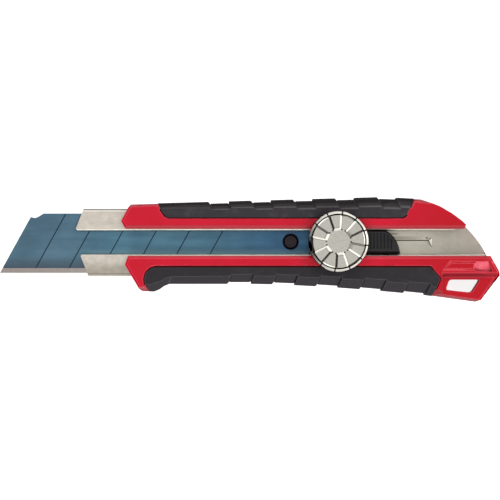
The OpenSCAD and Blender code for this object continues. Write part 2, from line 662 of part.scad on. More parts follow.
// Lock wheel: a cast disc with raised blocks and rim arcs by turns, and notches between
bush_r = screw_r + 2;
bush_h = screw_top - wheel_z + 0.5;
wheel_turn = 7.5;                       // turn of the first block from +Y
face_d = 0.6;                           // height of the blocks over the lands between them
face_z = wheel_z + wheel_h - face_d;
module wheel_block(half) {
    rotate_extrude(angle = half * 2, start = -half)
        polygon([[4.9, face_z - 1], [4.9, face_z - 0.1], [5.7, face_z + face_d],
                 [wheel_r - 1.8, face_z + face_d], [wheel_r - 1.05, face_z - 0.1],
                 [wheel_r - 1.05, face_z - 1]]);
}
module rim_arc(half) {
    rotate_extrude(angle = half * 2, start = -half)
        polygon([[wheel_r - 3.1, face_z - 1], [wheel_r - 3.1, face_z - eps],
                 [wheel_r - 2.5, face_z + 0.4], [wheel_r - 1.8, face_z + 0.4],
                 [wheel_r - 1.1, face_z - eps], [wheel_r - 1.1, face_z - 1]]);
}
module lock_wheel() {
    half = 180 / wheel_blocks / 2;
    color([0.77, 0.75, 0.71]) translate([wheel_x, lock_y, 0]) difference() {
        union() {
            rotate_extrude() polygon([[0, wheel_z], [wheel_r - 0.8, wheel_z], [wheel_r, wheel_z + 0.8],
                [wheel_r, face_z - 2], [wheel_r - 0.35, face_z - 0.8], [wheel_r - 0.7, face_z - 0.1],
                [wheel_r - 1, face_z], [0, face_z]]);
            for (i = [0:wheel_blocks - 1]) rotate([0, 0, 90 + wheel_turn + i * half * 4]) {
                wheel_block(half - 2.5);
                rotate([0, 0, half * 2]) rim_arc(half - 1.5);
            }
        }
        // notches round the rim, one at each end of a block
        for (i = [0:wheel_blocks * 2 - 1]) rotate([0, 0, 90 + wheel_turn + half + i * half * 2])
            translate([wheel_r - 1, -0.35, face_z - 2]) cube([2, 0.7, big]);
        translate([0, 0, wheel_z - 1]) cylinder(r = bush_r, h = 1 + bush_h);
    }
}
module wheel_bush() {
    color([0.78, 0.62, 0.3]) translate([wheel_x, lock_y, wheel_z]) difference() {
        cylinder(r = bush_r, h = bush_h);
        translate([0, 0, -1]) cylinder(r = screw_r, h = bush_h + 2);
    }
}

back_shell();
upper_rail();
lower_rail();
upper_grip();
lower_grip();
blade_channel();
channel_rivets();
blade();
blade_carrier();
blade_stud();
rattle_spring();
thumb_slider();
slider_rivets();
lock_screw();
clamp_saddle();
wave_washer();
lock_wheel();
wheel_bush();
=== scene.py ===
# %% [markdown]
# A snap-off utility knife lies on its back on a pale table. The construction model gives
# every piece its size and place. This lesson gives each piece the soft edges and the finish
# that pressing, casting and moulding leave on it, and then adds the studio round it.

# %% Load the frame
import json
import math

import bpy
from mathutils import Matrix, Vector

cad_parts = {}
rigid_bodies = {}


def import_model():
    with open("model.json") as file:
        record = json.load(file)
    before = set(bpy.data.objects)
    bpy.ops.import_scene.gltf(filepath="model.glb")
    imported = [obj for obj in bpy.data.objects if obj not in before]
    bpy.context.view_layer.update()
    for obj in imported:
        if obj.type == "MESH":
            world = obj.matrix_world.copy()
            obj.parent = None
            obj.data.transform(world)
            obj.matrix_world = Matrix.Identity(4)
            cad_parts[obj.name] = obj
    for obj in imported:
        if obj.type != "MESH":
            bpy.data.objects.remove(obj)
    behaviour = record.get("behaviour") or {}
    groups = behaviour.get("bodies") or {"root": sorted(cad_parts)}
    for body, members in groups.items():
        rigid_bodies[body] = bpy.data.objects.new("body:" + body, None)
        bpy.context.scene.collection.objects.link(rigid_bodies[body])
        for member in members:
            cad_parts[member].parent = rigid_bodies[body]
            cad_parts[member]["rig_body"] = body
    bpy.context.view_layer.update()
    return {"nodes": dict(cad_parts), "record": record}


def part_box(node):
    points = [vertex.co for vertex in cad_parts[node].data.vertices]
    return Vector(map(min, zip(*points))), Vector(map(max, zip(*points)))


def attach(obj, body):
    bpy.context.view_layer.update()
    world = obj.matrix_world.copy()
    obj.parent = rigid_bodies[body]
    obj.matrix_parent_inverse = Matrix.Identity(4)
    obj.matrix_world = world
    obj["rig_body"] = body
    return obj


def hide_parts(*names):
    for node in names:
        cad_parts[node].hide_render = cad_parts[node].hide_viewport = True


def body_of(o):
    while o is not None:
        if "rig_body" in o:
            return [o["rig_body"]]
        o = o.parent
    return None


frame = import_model()
MM = 0.001

# %% [markdown]
# The camera looks straight down at the knife from a little over half a metre, with a long
# lens. The lens could be typed in, but here it follows from the width that the view has to
# hold, so that the distance can change without changing the framing.

# %% Camera
view_width = 210 * MM
view_level = 11 * MM
camera_height = 631 * MM
camera_y = -3.2 * MM
camera_data = bpy.data.cameras.new("camera")
camera_data.sensor_width = 36
camera_data.lens = camera_data.sensor_width * (camera_height - view_level) / view_width
camera = bpy.data.objects.new("camera", camera_data)
camera.location = (0, camera_y, camera_height)
scene = bpy.context.scene
scene.collection.objects.link(camera)
scene.camera = camera
scene.view_settings.view_transform = "Standard"
print("lens", round(camera_data.lens, 1), "mm")

# %% [markdown]
# Shader maths reads best as plain sums. It could be wired node by node, but a long formula
# would then be hard to follow. So a Value wraps one socket, and every Python operator on it
# adds the Math node that does the same, also when the number stands on the left.


# %% Values
class Value:
    """A number from a socket; arithmetic on it adds Math nodes."""

    def __init__(self, graph, socket):
        self.graph = graph
        self.socket = socket

    def math(self, operation, *inputs):
        return self.graph.node("ShaderNodeMath", {"operation": operation}, *inputs)

    def __add__(self, other):
        return self.math("ADD", self, other)

    def __sub__(self, other):
        return self.math("SUBTRACT", self, other)

    def __rsub__(self, other):
        return self.math("SUBTRACT", other, self)

    def __mul__(self, other):
        return self.math("MULTIPLY", self, other)

    def __truediv__(self, other):
        return self.math("DIVIDE", self, other)

    def __pow__(self, other):
        return self.math("POWER", self, other)

    def __mod__(self, other):
        return self.math("FLOORED_MODULO", self, other)

    def __abs__(self):
        return self.math("ABSOLUTE", self)

    __radd__ = __add__
    __rmul__ = __mul__

    def rise(self, low, high):
        """0 below low, 1 above high and a smooth step between; it falls where high < low."""
        if high < low:
            return 1 - self.rise(high, low)
        settings = {"interpolation_type": "SMOOTHSTEP"}
        return self.graph.node("ShaderNodeMapRange", settings, self, low, high, 0, 1)

    def within(self, low, high, soft):
        """1 between low and high, with soft edges."""
        return self.rise(low - soft, low + soft) * self.rise(high + soft, high - soft)


print("a Value knows + - * / ** % and abs")

# %% [markdown]
# Every other node comes from one method. It takes the node's type, its settings, which are
# set first, and the values or links of its sockets in their order. Colours go through Mix
# nodes, because a Math node would turn them grey.


# %% Graphs
class Graph:
    """Makes nodes in one tree."""

    def __init__(self, tree):
        self.tree = tree

    def node(self, kind, settings, *inputs, output=0):
        made = self.tree.nodes.new(kind)
        for key, value in settings.items():
            setattr(made, key, value)
        for socket, value in zip(made.inputs, inputs):
            self.feed(socket, value)
        return Value(self, made.outputs[output])

    def feed(self, socket, value):
        """Links a Value, or sets a plain number or colour."""
        if isinstance(value, Value):
            self.tree.links.new(value.socket, socket)
        elif value is not None:
            if isinstance(value, tuple) and socket.type == "RGBA":
                value = (*value, 1)
            socket.default_value = value

    def axes(self, vector):
        """The three parts of a vector."""
        split = self.node("ShaderNodeSeparateXYZ", {}, vector).socket.node
        return [Value(self, out) for out in split.outputs]

    def blend(self, factor, low, high):
        """A colour between low and high."""
        settings = {"data_type": "RGBA"}
        unused = [None] * 5  # the node's sockets for numbers and vectors
        return self.node("ShaderNodeMix", settings, factor, *unused, low, high, output=2)

    def coated(self, base, *coats):
        """A base colour under coats, each a mask from 0 to 1 and the colour that it brings."""
        for mask, colour in coats:
            base = self.blend(mask, base, colour)
        return base


print("a Graph makes and links the nodes of one tree")

# %% [markdown]
# A Finish is the graph of one material, round its Principled shader. It also has the masks
# that several finishes need: noise, gaps and edges, which carry painted shade and painted
# highlights, and the way that the surface faces. The bevel node rounds the light on an edge
# without any new faces.

# %% Finishes
ray_samples = {"samples": 6}


class Finish(Graph):
    """The graph of one material round its Principled shader."""

    def __init__(self, name):
        self.material = bpy.data.materials.new(name)
        self.material.use_nodes = True
        super().__init__(self.material.node_tree)
        self.shader = self.tree.nodes["Principled BSDF"]
        self.place = self.node("ShaderNodeTexCoord", {}, output="Object")

    def set(self, **values):
        """Sets sockets of the shader: base_color=, roughness= and so on."""
        for key, value in values.items():
            self.feed(self.shader.inputs[key.replace("_", " ").title().replace("Ior", "IOR")], value)

    def stretched(self, x, y, z):
        """The place on the piece with each axis scaled, for grain that runs one way."""
        return self.node("ShaderNodeVectorMath", {"operation": "MULTIPLY"}, self.place, (x, y, z))

    def noise(self, scale, detail=2, where=None):
        return self.node("ShaderNodeTexNoise", {}, where or self.place, None, scale, detail)

    # Finishes darken the places that this finds, as painted shade.
    def gap(self, reach):
        """1 deep in a narrow gap or at the foot of a wall, 0 in the open."""
        openness = self.node("ShaderNodeAmbientOcclusion", ray_samples, None, reach, output=1)
        return openness.rise(0.9, 0.35)

    # Finishes lighten the edges that this finds, as painted highlights.
    def worn_edge(self, reach, least=0.995, most=0.93):
        """1 on folds and edges, 0 on flat faces; least and most are cosines of the turn."""
        rounded = self.node("ShaderNodeBevel", ray_samples, reach)
        true_normal = self.node("ShaderNodeNewGeometry", {}, output=3)
        settings = {"operation": "DOT_PRODUCT"}
        return self.node("ShaderNodeVectorMath", settings, rounded, true_normal, output=1).rise(least, most)

    def facing(self):
        """The three parts of the surface's normal."""
        return self.axes(self.node("ShaderNodeNewGeometry", {}, output=1))

    def side(self):
        """1 on steep sides, 0 on faces that look up."""
        return self.facing()[2].rise(0.82, 0.7)

    def bump(self, height, depth, strength=1.0, fold=0):
        """Feeds a height from 0 to 1, depth metres deep, to the shader's normal. A fold radius
        also rounds the light on every edge and crease."""
        rounded = self.node("ShaderNodeBevel", ray_samples, fold) if fold else None
        self.set(normal=self.node("ShaderNodeBump", {}, strength, depth, None, height, rounded))

    def report(self):
        print(self.material.name, "has", len(self.tree.nodes), "nodes")


print("a Finish looks round corners with", ray_samples["samples"], "rays")

# %% [markdown]
# The handle is moulded in a glossy red plastic. Its colour carries painted highlights on its
# folds and painted shade in its hollows, which a single colour can't show. An image could be
# painted for it, but a mask is sharp at every distance: a number from 0 to 1, worked out from
# the place on the piece. Here the masks are the slope beside the channel, the moat round the
# grips, the tail, the scoop in the tail with its painted highlight, and the places under the
# step and round the lanyard hole.

# %% Masks on the handle
red = Finish("red_plastic")
x, y, z = red.axes(red.place)
from_middle = abs(y)
top = 1 - red.side()
# Painted shade: the tail of the handle is darker.
tail_shade = x.rise(50 * MM, 88 * MM)
# Painted shade on the upper rail's slope and on the inner edges beside the channel.
inner_slope_shade = y.within(5.9 * MM, 7.2 * MM, 0.3 * MM)
inner_edge_shade = from_middle.rise(6.05 * MM, 5.8 * MM)
moat = from_middle.within(8.9 * MM, 11.5 * MM, 0.2 * MM) * x.within(-34 * MM, 60 * MM, 1 * MM)
# Painted shade on the floor of the moat.
moat_floor_shade = moat * from_middle.rise(9.3 * MM, 10 * MM)
# A painted highlight: the scoop in the tail is pale pink.
scoop_curve = 320
scoop_y = -10 * MM
scoop_start = x - (y - scoop_y) ** 2 * scoop_curve
scoop_highlight = (scoop_start.within(93.1 * MM, 101 * MM, 0.2 * MM) * y.within(-12.1 * MM, -7.9 * MM, 0.15 * MM)
         * z.rise(16.96 * MM, 16.88 * MM))
# Painted shade under the step in the tail.
under_step_shade = (y.rise(-16.4 * MM, -14 * MM) * y.rise(-12.7 * MM, -13.1 * MM)
              * x.within(80 * MM, 98 * MM, 2 * MM))
hole = x.within(81 * MM, 98 * MM, 0.5 * MM) * y.within(-21.5 * MM, -13.7 * MM, 0.3 * MM)
beside_hole = x.within(74 * MM, 80.5 * MM, 0.5 * MM) * y.rise(-13 * MM, -14 * MM)
red.report()

# %% [markdown]
# The pigment clouds slightly, and a mould leaves a very fine orange peel. Each mask then
# brings its own coat: painted highlights on the folds and in the scoop, and painted shade on
# the tail, on the slope and edge beside the channel, on sides, under the step, in the moat and
# in crevices. The sides are rougher too, or they would mirror the white table and look pink.

# %% Red plastic
# The colour of the painted shade on sides, under the step and in the moat.
shade_red = (0.22, 0.001, 0.008)
pigment = red.blend(red.noise(90, 3).rise(0.3, 0.7), (0.49, 0.001, 0.016), (0.545, 0.002, 0.023))
# Painted highlights on the folds.
fold_highlights = red.worn_edge(0.6 * MM, 0.999, 0.98) * top * (1 - moat) * (1 - beside_hole)
# Painted shade in the crevices.
crevice_shade = red.gap(1 * MM) * (0.25 + top * 0.45) * (1 - hole) * (1 - moat * 0.5)
moulded_and_painted_light = red.coated(
    pigment,
    (tail_shade, (0.43, 0.0005, 0.009)),
    (inner_slope_shade * 0.7, (0.30, 0.001, 0.009)),
    (inner_edge_shade * 0.7, (0.16, 0.001, 0.008)),
    ((1 - top) * (1 - hole) * 0.6 + under_step_shade * 0.7, shade_red),
    (fold_highlights * 0.5, (0.82, 0.08, 0.125)),
    (moat_floor_shade * 0.3, shade_red),
    (scoop_highlight * top * 0.85, (0.78, 0.085, 0.135)),
    (crevice_shade, (0.16, 0.004, 0.012)))
gloss = 0.16 + red.noise(300, 4) * 0.1 + red.side() * 0.34 + inner_slope_shade * 0.25
red.set(base_color=moulded_and_painted_light, roughness=gloss, specular_ior_level=0.33)
red.bump(red.noise(2600, 2), 0.01 * MM, 0.5, 0.4 * MM)
red.report()

# %% [markdown]
# The grips are a soft black rubber over the handle. It is matt, with a fine leathery skin
# from the etched mould, and it catches a little pale dust. Its outer folds carry painted
# highlights. Steep sides and slopes that face the far side carry painted shade, slopes that
# face the near side painted light, and the lower grip more painted shade. The slopes could be
# told apart by their place, but the way that the surface faces does it for every block of the
# grip at once.

# %% Black rubber
rubber = Finish("black_rubber")
skin = rubber.noise(1900, 3)
dust = rubber.noise(220, 5).rise(0.45, 0.75)
side = rubber.side()
_, y, _ = rubber.axes(rubber.place)
# Painted shade: darker towards the lower grip.
lower_grip_shade = y.rise(6 * MM, -8 * MM)
outer = abs(y).rise(11.6 * MM, 12.4 * MM)
north = rubber.facing()[1]
# Painted shade on slopes that face the far side, painted light on those that face the near side.
far_slope_shade = north.rise(0.1, 0.35)
near_slope_light = north.rise(-0.1, -0.35)
# The darker colour of steep sides is painted shade; the dust is real.
clean_and_side_shade = rubber.blend(side, (0.038, 0.0345, 0.0375), (0.030, 0.028, 0.030))
dusty_and_side_shade = rubber.blend(side, (0.052, 0.048, 0.052), (0.040, 0.037, 0.040))
# Painted highlights on the outer folds.
rubber_fold_highlights = rubber.worn_edge(0.45 * MM) * outer * (0.75 - far_slope_shade * 0.6)
skinned_and_painted_light = rubber.coated(
    rubber.blend(dust, clean_and_side_shade, dusty_and_side_shade),
    (lower_grip_shade * 0.5, (0.022, 0.020, 0.0225)),
    (far_slope_shade, (0.021, 0.0185, 0.020)),
    (near_slope_light * 0.9, (0.050, 0.046, 0.051)),
    (rubber_fold_highlights, (0.13, 0.122, 0.128)),
    # Painted shade in gaps.
    (rubber.gap(1 * MM), (0.006, 0.005, 0.006)))
rubber.set(base_color=skinned_and_painted_light, roughness=0.42 + skin * 0.2 + side * 0.25, specular_ior_level=0.02)
rubber.bump(skin, 0.03 * MM, 0.7, 0.35 * MM)
rubber.report()

# %% [markdown]
# The channel is pressed from stainless sheet. Its floor, where the slider runs, is painted
# darker than the lips, as painted shade of the deep channel, lighter towards the front, as
# painted light, and darker along its walls, as painted shade. It has painted shade in two
# small hollows, in a pressed groove and on the groove's upper slope, a dark streak, and a
# painted highlight on the stop tooth. The lips are rubbed bright, with a painted highlight
# where the sheet is folded and painted shade where it turns down, and the rear is painted
# darker, as painted shade. The marks could be thin pieces laid on the floor, but these would
# cast shadows, so all of them are masks on the place again.

# %% Masks on the channel
steel = Finish("channel_steel")
x, y, z = steel.axes(steel.place)
lip_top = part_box("blade_channel")[1].z
floor_top = 9.1 * MM
sunk = z.rise(lip_top - 1.5 * MM, lip_top - 2.5 * MM)
on_lip = z.rise(lip_top - 0.4 * MM, lip_top - 0.2 * MM)


def mark(centre_x, centre_y, half_x, half_y):
    """A small soft oval on the channel's floor, all in millimetres."""
    away = ((x / MM - centre_x) / half_x) ** 2 + ((y / MM - centre_y) / half_y) ** 2
    return away.rise(1.3, 0.4)


# Painted shade in the two hollows at the ends of the pressed groove, and a dark streak above the left one.
hollow_shade_and_streak = mark(59.9, 1.9, 1.1, 0.75) + mark(74.6, 1.9, 0.55, 0.35) + mark(60.5, 3.6, 2.4, 0.35) * 0.6
# Painted shade in the pressed groove.
groove_shade = abs(y - 0.88 * MM).rise(0.26 * MM, 0.1 * MM) * x.within(60 * MM, 75.3 * MM, 0.3 * MM)
# Painted shade on the groove's upper slope.
groove_slope_shade = y.within(1.2 * MM, 2.5 * MM, 0.4 * MM) * x.rise(75 * MM, 66 * MM)
# A painted highlight on the stop tooth.
tooth_highlight = x.within(75.4 * MM, 77 * MM, 0.1 * MM) * z.rise(floor_top + 0.02 * MM, floor_top + 0.08 * MM)
# Painted shade: darker towards the rear.
tail_shade = x.rise(74 * MM, 98 * MM) * (0.6 + y.rise(-1 * MM, 4 * MM) * 0.4)
# A painted highlight where the sheet is folded, and painted shade where it turns down.
lip_fold_highlight = on_lip * y.within(12.95 * MM, 13.45 * MM, 0.12 * MM)
turned_down_shade = on_lip * (y.rise(13.45 * MM, 13.65 * MM) + y.within(-13.35 * MM, -12.95 * MM, 0.1 * MM))
steel.report()

# %% [markdown]
# The brushed grain runs along the knife, so the noise is stretched a long way along X, and
# broad warm clouds lie under it. The same grain feeds the colour and the bump, which keeps
# the scratches and their shade together.

# %% Channel steel
grain = steel.noise(1, 4, steel.stretched(260, 5200, 5200))
mottle = steel.noise(420, 4)
brushed = (grain * 0.6 + mottle * 0.5).rise(0.3, 0.8)
polished = steel.blend(brushed, (0.62, 0.57, 0.485), (0.78, 0.72, 0.635))
# Darker towards the outer edge of the lower lip.
darker_lip_steel = steel.blend(brushed, (0.42, 0.37, 0.31), (0.53, 0.48, 0.405))
lips = steel.blend(y.rise(-6.5 * MM, -12 * MM), polished, darker_lip_steel)
floor_and_painted_light = steel.coated(
    steel.blend(mottle * 1.3 + grain * 0.3 - 0.3, (0.43, 0.41, 0.335), (0.56, 0.54, 0.455)),
    # Painted light: the floor is lighter towards the front.
    (x.rise(88 * MM, 66 * MM) * 0.6, (0.68, 0.65, 0.54)),
    (groove_slope_shade * 0.55, (0.24, 0.215, 0.17)),
    ((hollow_shade_and_streak + groove_shade) * 0.85, (0.07, 0.06, 0.035)),
    (tooth_highlight, (0.80, 0.75, 0.66)))
pressed_and_painted_light = steel.coated(
    # Painted shade: the sunk floor is darker than the lips.
    steel.blend(sunk, lips, floor_and_painted_light),
    (tail_shade, (0.44, 0.375, 0.33)),
    (lip_fold_highlight * 0.7, (1.0, 0.97, 0.92)),
    (turned_down_shade * 0.85, (0.27, 0.24, 0.21)),
    # Painted shade along the walls of the floor.
    (steel.gap(2.5 * MM) * sunk, (0.09, 0.085, 0.06)))
steel.set(base_color=pressed_and_painted_light, metallic=1.0, roughness=0.3 + mottle * 0.16)
steel.bump(grain, 0.012 * MM, 0.6)
steel.report()

# %% [markdown]
# The small parts inside are zinc-plated steel, and the wheel's bush is turned brass. Both are
# plain metals that hardly show, so one function makes them: a faint texture, two close
# colours, and painted shade in gaps.


# %% Plated steel and brass
def plain_metal(name, dark, light, low, high):
    """A simple metal with a faint cast or turned texture; low and high bound its roughness."""
    metal = Finish(name)
    spots = metal.noise(600, 4)
    plain = metal.blend(spots.rise(0.3, 0.7), dark, light)
    # Painted shade in gaps.
    metal.set(base_color=metal.blend(metal.gap(2 * MM), plain, (0.004, 0.004, 0.004)), metallic=1.0,
              roughness=low + spots * (high - low))
    metal.bump(spots, 0.01 * MM, 0.5)
    metal.report()
    return metal


plated = plain_metal("plain_steel", (0.42, 0.42, 0.42), (0.56, 0.56, 0.55), 0.25, 0.4)
brass = plain_metal("bush_brass", (0.62, 0.43, 0.16), (0.74, 0.55, 0.24), 0.2, 0.35)

# %% [markdown]
# The lock wheel is cast zinc, polished on top. Painted shade lies as a dark line at the foot
# and along the top of every slope, across the inner ends of the blocks, and in the inner
# corners, the groove and the notches. The lines follow from the radius and from the angle to
# the middle of the nearest of the six blocks: outward runs along that middle, and sideways
# across it.

# %% Masks on the lock wheel
wheel_low, wheel_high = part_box("lock_wheel")
wheel_axis = (wheel_low + wheel_high) / 2
wheel_blocks = 6
wheel_turn = math.radians(7.5)
cast = Finish("cast_silver")
along, across, _ = cast.axes(cast.place)
along, across = along - wheel_axis.x, across - wheel_axis.y
radius = (along * along + across * across) ** 0.5
angle = cast.node("ShaderNodeMath", {"operation": "ARCTAN2"}, across, along)
sector = math.tau / wheel_blocks
from_block = abs((angle - math.pi / 2 - wheel_turn + sector / 2) % sector - sector / 2)
outward = from_block.math("COSINE", from_block) * radius
sideways = from_block.math("SINE", from_block) * radius
foot_slant = 0.205
# Painted shade: dark lines at the foot and the top of each slope, in the inner corners, the groove and the
# notches.
past_foot = sideways - outward * foot_slant - 0.75 * MM
foot = abs(past_foot).rise(0.17 * MM, 0.05 * MM) * radius.within(4.9 * MM, 11.2 * MM, 0.2 * MM)
brow = abs(past_foot + 0.8 * MM).rise(0.12 * MM, 0.03 * MM) * radius.within(5.6 * MM, 10.9 * MM, 0.2 * MM)
inner_brow = abs(outward - 5.9 * MM).rise(0.2 * MM, 0.05 * MM) * sideways.rise(1.5 * MM, 1.3 * MM)
corner = ((outward / MM - 4.75) ** 2 + (sideways / MM - 1.85) ** 2).rise(0.22, 0.06)
groove = abs(radius - 11.2 * MM).rise(0.25 * MM, 0.05 * MM)
notch = abs((from_block - sector / 4) * radius).rise(0.3 * MM, 0.1 * MM) * radius.rise(11 * MM, 11.3 * MM)
cast.report()

# %% [markdown]
# The casting is nearly a mirror, so most of its shades come from the tent round it. The rest
# is painted shade, each mask with its own weight, and steep sides count as well. One blend
# then brings all the painted shade in.

# %% Cast zinc
# All the painted shade of the wheel, steep sides included.
wheel_painted_shade = (foot * 0.6 + (brow + inner_brow) * 0.4 + corner * 0.8 + groove * 0.7 + notch * 0.9
         + cast.side() * 0.75)
spots = cast.noise(1500, 4)
silver = cast.blend(spots.rise(0.3, 0.7), (0.74, 0.71, 0.63), (0.82, 0.795, 0.715))
cast.set(base_color=cast.blend(wheel_painted_shade, silver, (0.03, 0.03, 0.025)), metallic=1.0,
         roughness=0.1 + spots * 0.1)
cast.bump(spots, 0.01 * MM, 0.5)
cast.report()

# %% [markdown]
# The stud that holds the blade is blackened steel. Its head is worn to a brownish grey in
# the middle, and a deep black ring is left round the head. Both come from the distance to the
# stud's axis, which is a function, because the blade's finish needs it too.


# %% Blackened stud
def from_stud(graph):
    """The distance from the axis of the blade's stud."""
    low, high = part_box("blade_stud")
    along, across, _ = graph.axes(graph.place)
    along, across = along - (low.x + high.x) / 2, across - (low.y + high.y) / 2
    return (along * along + across * across) ** 0.5


dark_steel = Finish("dark_steel")
worn = dark_steel.noise(900, 4)
head = from_stud(dark_steel).rise(2.55 * MM, 2.4 * MM)
blackened = dark_steel.blend(head * (0.6 + worn * 0.8), (0.004, 0.005, 0.010), (0.036, 0.029, 0.032))
dark_steel.set(base_color=blackened, metallic=1.0, roughness=0.35 + worn * 0.2)
dark_steel.bump(worn, 0.03 * MM, 0.6)
dark_steel.report()

# %% [markdown]
# The slider is black nylon, matt and slightly grainy, and darker between its ribs, where no
# light reaches. The gap mask finds these places by itself, so no rib has to be named.

# %% Black plastic
nylon = Finish("black_plastic")
grit = nylon.noise(3000, 2)
matt = nylon.blend(nylon.noise(200, 3), (0.006, 0.006, 0.007), (0.011, 0.011, 0.012))
nylon.set(base_color=nylon.blend(nylon.gap(0.8 * MM), matt, (0.001, 0.001, 0.001)),
          roughness=0.36 + grit * 0.16, specular_ior_level=0.3)
nylon.bump(grit, 0.015 * MM, 0.6)
nylon.report()

# %% [markdown]
# The blade is blued, and its ground cutting bevel is bright. Both are one material: the
# distance from the cutting edge says where the grinding wheel has been. The snap lines are
# pressed into the blued face, and their dark colour is painted shade in the grooves. The
# distance from the nearest one is the place along the blade, corrected for the lean of the
# lines, modulo their pitch.

# %% Masks on the blade
blade_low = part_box("blade")[0]
bevel_w = 2.05 * MM
snap_pitch = 14 * MM
snap_lines = 6
snap_lean = 1 / math.tan(math.radians(61))
blued = Finish("blade_steel")
x, y, _ = blued.axes(blued.place)
from_edge = y - blade_low.y
from_tip = x - y * snap_lean - (blade_low.x - blade_low.y * snap_lean)
from_line = abs((from_tip + snap_pitch / 2) % snap_pitch - snap_pitch / 2)
snapping = from_tip.within(snap_pitch / 2, snap_pitch * (snap_lines + 0.5), 1 * MM)
# Painted shade in the grooves of the snap lines.
snap_line_shade = from_line.rise(0.3 * MM, 0.14 * MM) * snapping * from_edge.rise(bevel_w * 0.6, bevel_w)
ground = from_edge.rise(bevel_w + 0.12 * MM, bevel_w - 0.12 * MM)
# A darker line just above the bevel.
line_above_bevel = from_edge.within(bevel_w + 0.05 * MM, bevel_w + 0.5 * MM, 0.12 * MM)
heated = from_edge.rise(8.5 * MM, 2.4 * MM)
# Painted light: lighter beside the lower lip.
lower_lip_light = y.rise(-2 * MM, -5.2 * MM) * x.rise(-74 * MM, -64 * MM)
# Painted shade round the stud.
stud_ring_shade = from_stud(blued).rise(3.6 * MM, 3.35 * MM)
# Painted shade under the upper lip.
under_lip_shade = blued.gap(1.2 * MM) * y.rise(-3 * MM, 3 * MM)
blued.report()

# %% [markdown]
# Bluing is an oxide film, and its colour drifts: greyer at the tip, deeper towards the stud
# and violet grey where grinding heated the edge. One noise alone would look like marble, so
# long streaks and a soft haze together mix the two shades of each stretch.

# %% Blade steel
streaks = blued.noise(1, 5, blued.stretched(60, 420, 420))
haze = blued.noise(70, 4)
clouds = (streaks * 0.5 + haze * 0.6).rise(0.35, 0.75)
tip_blue = blued.blend(clouds, (0.069, 0.138, 0.193), (0.101, 0.193, 0.262))
# Painted light: the blue inside the channel is brighter, against the channel's shade.
lit_middle_blue = blued.blend(clouds, (0.063, 0.152, 0.217), (0.092, 0.213, 0.290))
deep_blue = blued.blend(clouds, (0.034, 0.094, 0.178), (0.056, 0.152, 0.258))
edge_grain = blued.noise(1, 3, blued.stretched(3500, 300, 300))
bright = blued.blend(edge_grain, (0.25, 0.22, 0.205), (0.37, 0.325, 0.305))
blued_and_painted_light = blued.coated(
    tip_blue,
    (x.rise(-85 * MM, -50 * MM), lit_middle_blue),
    (x.rise(-24 * MM, 16 * MM), deep_blue),
    (lower_lip_light * 0.5, (0.19, 0.33, 0.36)),
    (heated * 0.8, (0.062, 0.085, 0.11)),
    (stud_ring_shade * 0.9, (0.004, 0.006, 0.012)),
    (snap_line_shade, (0.001, 0.008, 0.020)),
    (line_above_bevel * 0.7, (0.03, 0.045, 0.06)),
    (under_lip_shade * 0.7, (0.006, 0.012, 0.022)),
    (ground, bright))
blued.set(base_color=blued_and_painted_light, metallic=0.75 + ground * 0.25,
          roughness=0.36 + haze * 0.12 - ground * 0.1)
blued.bump(streaks, 0.006 * MM, 0.5)
blued.report()

# %% [markdown]
# The construction model says which material every piece has. Each solid gets its finish from
# there, so nothing is left in grey, and the pieces made later look theirs up in the same table.

# %% Dress the solids
FINISHES = {"red_plastic": red, "black_rubber": rubber, "channel_steel": steel, "blade_steel": blued,
            "dark_steel": dark_steel, "plain_steel": plated, "black_plastic": nylon,
            "cast_silver": cast, "bush_brass": brass}
slot_of = {row["node"]: row["material_slot"] for row in frame["record"]["subparts"]}
for name, obj in frame["nodes"].items():
    obj.data.materials.clear()
    obj.data.materials.append(FINISHES[slot_of[name]].material)
print("finishes:", ", ".join(sorted(FINISHES)))

# %% [markdown]
# Modelling by hand means to select something and then to move, inset or bevel it. In code the
# selecting is done by place: a test says which vertices, edges or faces are meant, from the
# middle of each. It stays right when the model behind it changes a little.


# %% Select by place
def select_only(obj):
    bpy.ops.object.select_all(action="DESELECT")
    obj.select_set(True)
    bpy.context.view_layer.objects.active = obj


def pick(piece, kind, test):
    """Goes to edit mode with only those vertices, edges or faces whose middle passes a test."""
    bpy.ops.object.mode_set(mode="OBJECT")
    kinds = ("VERT", "EDGE", "FACE")
    bpy.context.tool_settings.mesh_select_mode = [kind == k for k in kinds]
    mesh = piece.data
    groups = (mesh.vertices, mesh.edges, mesh.polygons)
    for group in groups:
        group.foreach_set("select", [False] * len(group))
    for item in groups[kinds.index(kind)]:
        corners = [item] if kind == "VERT" else [mesh.vertices[i] for i in item.vertices]
        item.select = test(sum((c.co for c in corners), Vector()) / len(corners))
    bpy.ops.object.mode_set(mode="EDIT")


def radius_of(p):
    """The distance from the Z axis."""
    return math.hypot(p.x, p.y)


print("select_only, pick and radius_of are ready")

# %% [markdown]
# A CAD solid has knife-sharp edges, and no moulded or pressed piece has. So each visible
# piece is made again from a copy of its solid: the loose triangles are merged, flat regions
# are joined into single faces, and a bevel rounds every edge sharper than a given angle.
# Corners that the bevel leaves almost on top of each other are merged, because a sliver of a
# face there would shine in a wrong direction.


# %% Soften a piece's edges
def merged_copy(node):
    """A copy of a node's mesh as a piece of its own, merged and cleaned."""
    source = frame["nodes"][node]
    piece = bpy.data.objects.new(node + "_finished", source.data.copy())
    scene.collection.objects.link(piece)
    select_only(piece)
    bpy.ops.object.mode_set(mode="EDIT")
    bpy.ops.mesh.select_all(action="SELECT")
    bpy.ops.mesh.remove_doubles(threshold=0.002 * MM)
    bpy.ops.mesh.dissolve_limited(angle_limit=math.radians(1.0))
    bpy.ops.object.mode_set(mode="OBJECT")
    return piece


